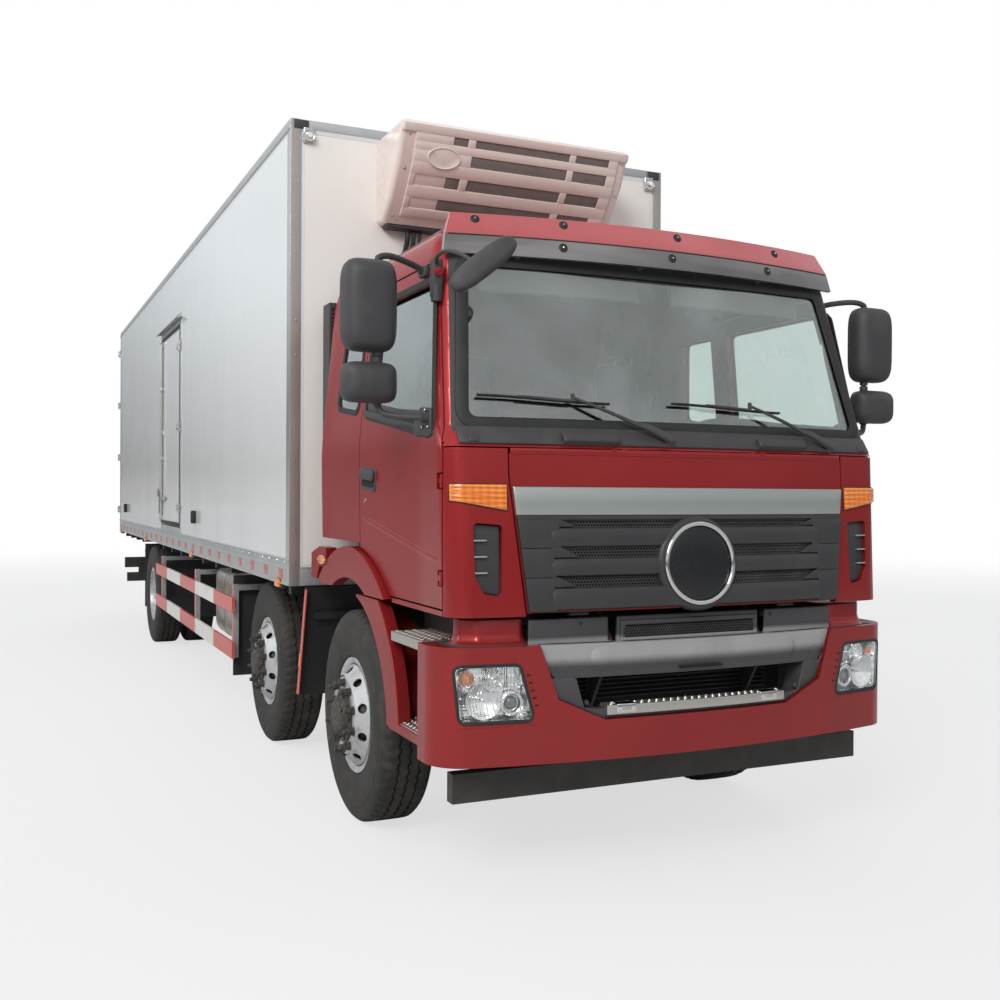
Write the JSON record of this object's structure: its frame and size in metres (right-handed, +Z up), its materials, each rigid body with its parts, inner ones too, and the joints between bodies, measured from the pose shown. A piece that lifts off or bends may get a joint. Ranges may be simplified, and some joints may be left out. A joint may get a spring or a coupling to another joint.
{
  "type": "three-axle refrigerated box truck",
  "caption": "Twin-steer refrigerated box truck with a low tilting cab, a long insulated box with side and rear doors, and a cooling unit on its front wall.",
  "frame": {"origin": "on the ground below the middle of the overall box", "axes": "+X forward, +Y to the truck's left, +Z up"},
  "size_m": [11.999, 2.982, 3.825],
  "materials": {
    "chassis_paint": "satin black paint",
    "cab_red": "metallic red, clear coated",
    "dark_plastic": "grained dark grey",
    "glass": "clear with a green tint",
    "lamp": "clear polycarbonate",
    "tyre": "worn rubber",
    "rim_steel": "silver paint",
    "hub_iron": "greasy cast iron",
    "box_skin": "glossy white laminate",
    "aluminium": "satin extrusion",
    "stainless": "brushed",
    "unit_shell": "gloss off-white",
    "guard_paint": "white and red bands",
    "seat_fabric": "woven grey",
    "interior": "soft grained",
    "tank_metal": "silver paint"
  },
  "bodies": {
    "chassis": {"chassis_frame": "chassis_paint", "front_axle_beams": "chassis_paint", "rear_axle": "chassis_paint", "leaf_springs": "chassis_paint", "engine": "hub_iron", "drive_shaft": "chassis_paint", "fuel_tank": "tank_metal", "battery_box": "chassis_paint", "front_bumper": "cab_red", "bumper_centre": "dark_plastic", "headlamps": "lamp", "front_underrun_bar": "chassis_paint", "step_wells": "cab_red", "mudguards": "dark_plastic", "side_guards": "guard_paint", "rear_bumper": "chassis_paint", "box_subframe": "chassis_paint", "box_floor": "aluminium", "box_walls": "box_skin", "box_front_wall": "box_skin", "box_roof": "box_skin", "box_rear_frame": "stainless", "refrigeration_unit": "unit_shell"},
    "cab": {"cab_body": "cab_red", "cab_roof": "cab_red", "cab_windows": "glass", "roof_visor": "cab_red", "dashboard": "interior", "seats": "seat_fabric", "corner_panels": "cab_red", "wheel_arches": "cab_red", "air_intake": "dark_plastic", "front_mirror": "dark_plastic"},
    "front_flap": {"front_flap": "cab_red"},
    "steering_wheel": {"steering_wheel": "interior"},
    "side_door": {"side_door": "box_skin"},
    "rear_door_left": {"rear_door_left": "box_skin"},
    "rear_door_right": {"rear_door_right": "box_skin"},
    "door_left": {"door_left": "cab_red", "door_glass_left": "glass", "mirror_left": "dark_plastic"},
    "rear_wheels_left": {"rear_tyres_left": "tyre", "rear_rims_left": "rim_steel"},
    "front_knuckle_left": {"front_knuckle_left": "hub_iron"},
    "front_wheel_left": {"front_tyre_left": "tyre", "front_rim_left": "rim_steel"},
    "second_knuckle_left": {"second_knuckle_left": "hub_iron"},
    "second_wheel_left": {"second_tyre_left": "tyre", "second_rim_left": "rim_steel"},
    "door_right": {"door_right": "cab_red", "door_glass_right": "glass", "mirror_right": "dark_plastic"},
    "rear_wheels_right": {"rear_tyres_right": "tyre", "rear_rims_right": "rim_steel"},
    "front_knuckle_right": {"front_knuckle_right": "hub_iron"},
    "front_wheel_right": {"front_tyre_right": "tyre", "front_rim_right": "rim_steel"},
    "second_knuckle_right": {"second_knuckle_right": "hub_iron"},
    "second_wheel_right": {"second_tyre_right": "tyre", "second_rim_right": "rim_steel"}
  },
  "joints": [
    {"name": "cab_tilt", "type": "hinge", "parent": "chassis", "child": "cab", "pos_m": [5.86, 0, 1], "axis": [0, 1, 0], "range_deg": [0, 50]},
    {"name": "door_left_swing", "type": "hinge", "parent": "cab", "child": "door_left", "pos_m": [5.778, 1.132, 1.52], "axis": [0, 0, -1], "range_deg": [0, 75]},
    {"name": "door_right_swing", "type": "hinge", "parent": "cab", "child": "door_right", "pos_m": [5.778, -1.132, 1.52], "axis": [0, 0, 1], "range_deg": [0, 75]},
    {"name": "front_flap_lift", "type": "hinge", "parent": "cab", "child": "front_flap", "pos_m": [5.899, 0, 1.849], "axis": [0, -1, 0], "range_deg": [0, 80]},
    {"name": "steering_wheel_turn", "type": "hinge", "parent": "cab", "child": "steering_wheel", "pos_m": [5.28, 0.52, 1.79], "axis": [-0.4695, 0, 0.8829], "range_deg": [-760, 760]},
    {"name": "steer_front_left", "type": "hinge", "parent": "chassis", "child": "front_knuckle_left", "pos_m": [4.55, 0.86, 0.535], "axis": [0, 0, 1], "range_deg": [-38, 38]},
    {"name": "roll_front_left", "type": "hinge", "parent": "front_knuckle_left", "child": "front_wheel_left", "pos_m": [4.55, 1.005, 0.535], "axis": [0, 1, 0], "continuous": true},
    {"name": "steer_front_right", "type": "hinge", "parent": "chassis", "child": "front_knuckle_right", "pos_m": [4.55, -0.86, 0.535], "axis": [0, 0, 1], "range_deg": [-38, 38]},
    {"name": "roll_front_right", "type": "hinge", "parent": "front_knuckle_right", "child": "front_wheel_right", "pos_m": [4.55, -1.005, 0.535], "axis": [0, 1, 0], "continuous": true},
    {"name": "steer_second_left", "type": "hinge", "parent": "chassis", "child": "second_knuckle_left", "pos_m": [2.6, 0.86, 0.535], "axis": [0, 0, 1], "range_deg": [-28, 28]},
    {"name": "roll_second_left", "type": "hinge", "parent": "second_knuckle_left", "child": "second_wheel_left", "pos_m": [2.6, 1.005, 0.535], "axis": [0, 1, 0], "continuous": true},
    {"name": "steer_second_right", "type": "hinge", "parent": "chassis", "child": "second_knuckle_right", "pos_m": [2.6, -0.86, 0.535], "axis": [0, 0, 1], "range_deg": [-28, 28]},
    {"name": "roll_second_right", "type": "hinge", "parent": "second_knuckle_right", "child": "second_wheel_right", "pos_m": [2.6, -1.005, 0.535], "axis": [0, 1, 0], "continuous": true},
    {"name": "roll_rear_left", "type": "hinge", "parent": "chassis", "child": "rear_wheels_left", "pos_m": [-2.7, 0.9225, 0.535], "axis": [0, 1, 0], "continuous": true},
    {"name": "roll_rear_right", "type": "hinge", "parent": "chassis", "child": "rear_wheels_right", "pos_m": [-2.7, -0.9225, 0.535], "axis": [0, 1, 0], "continuous": true},
    {"name": "side_door_swing", "type": "hinge", "parent": "chassis", "child": "side_door", "pos_m": [-0.46, -1.264, 2.28], "axis": [0, 0, 1], "range_deg": [0, 175]},
    {"name": "rear_door_left_swing", "type": "hinge", "parent": "chassis", "child": "rear_door_left", "pos_m": [-5.974, 1.264, 2.47], "axis": [0, 0, -1], "range_deg": [0, 255]},
    {"name": "rear_door_right_swing", "type": "hinge", "parent": "chassis", "child": "rear_door_right", "pos_m": [-5.974, -1.264, 2.47], "axis": [0, 0, 1], "range_deg": [0, 255]}
  ],
  "couplings": [
    {"joint": "steer_front_right", "follows": "steer_front_left", "ratio": 1},
    {"joint": "steer_second_left", "follows": "steer_front_left", "ratio": 0.73},
    {"joint": "steer_second_right", "follows": "steer_front_left", "ratio": 0.73},
    {"joint": "steering_wheel_turn", "follows": "steer_front_left", "ratio": 20}
  ]
}
